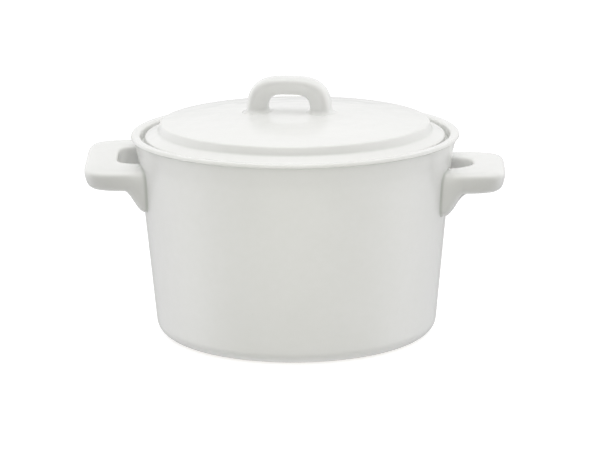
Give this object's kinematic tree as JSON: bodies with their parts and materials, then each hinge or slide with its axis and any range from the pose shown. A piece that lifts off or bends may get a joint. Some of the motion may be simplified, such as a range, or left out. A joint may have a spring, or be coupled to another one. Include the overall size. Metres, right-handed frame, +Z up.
{
  "type": "covered casserole dish",
  "caption": "Round covered casserole dish in white glazed ceramic, with slotted lug handles and a lift-off lid that has a strap handle.",
  "frame": {"origin": "centre of the foot, on the surface that the dish stands on", "axes": "+Z up, the axis of the pot and the lid; +X from the pot's axis towards one lug handle; the other lug is on -X"},
  "size_m": [0.2583, 0.2016, 0.1587],
  "materials": {
    "white_glaze": "gloss"
  },
  "bodies": {
    "pot": {"pot_body": "white_glaze", "left_handle": "white_glaze", "right_handle": "white_glaze"},
    "lid": {"lid_disc": "white_glaze", "lid_handle": "white_glaze"}
  },
  "joints": [
    {"name": "lid_lift", "type": "slide", "parent": "pot", "child": "lid", "axis": [0, 0, 1], "range_m": [0, 0.15]}
  ]
}
